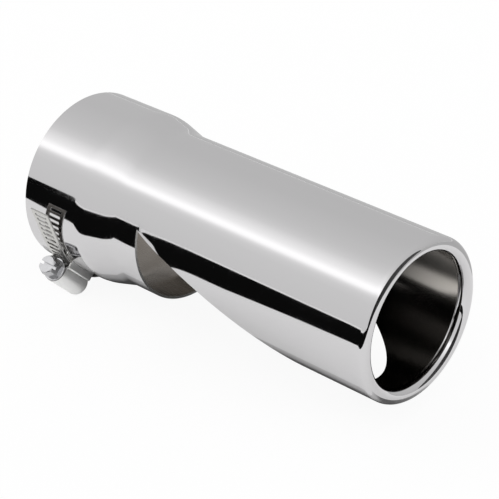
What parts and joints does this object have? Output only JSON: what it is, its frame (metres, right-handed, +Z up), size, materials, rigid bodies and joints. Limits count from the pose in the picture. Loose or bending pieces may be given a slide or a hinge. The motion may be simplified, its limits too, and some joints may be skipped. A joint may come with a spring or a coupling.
{
  "type": "exhaust tip",
  "caption": "Polished slip-on tailpipe trim with a stepped inlet sleeve, a slash-cut underside notch, a rolled outlet rim and a worm-drive band clamp.",
  "frame": {"origin": "on the tube's axis, in the middle of the clamp band's grip on the tailpipe, 13.6 mm in from the inlet rim", "axes": "+X along the tube towards the rolled outlet rim, +Z up, with the notch opening towards -Z and the clamp screw below on the -Y side"},
  "size_m": [0.1687, 0.075, 0.0737],
  "materials": {
    "polished_stainless": "mirror polished outside, drawn finish inside",
    "band_stainless": "bright rolled strip",
    "stamped_stainless": "tumbled bright",
    "plated_steel": "bright zinc plated"
  },
  "bodies": {
    "tip": {"tip_tube": "polished_stainless", "clamp_band": "band_stainless", "clamp_housing": "stamped_stainless"},
    "screw": {"clamp_screw": "plated_steel"}
  },
  "joints": [
    {"name": "screw_turn", "type": "hinge", "parent": "tip", "child": "screw", "pos_m": [0, -0.02846, -0.02896], "axis": [0, -0.7133, 0.7009], "continuous": true}
  ]
}
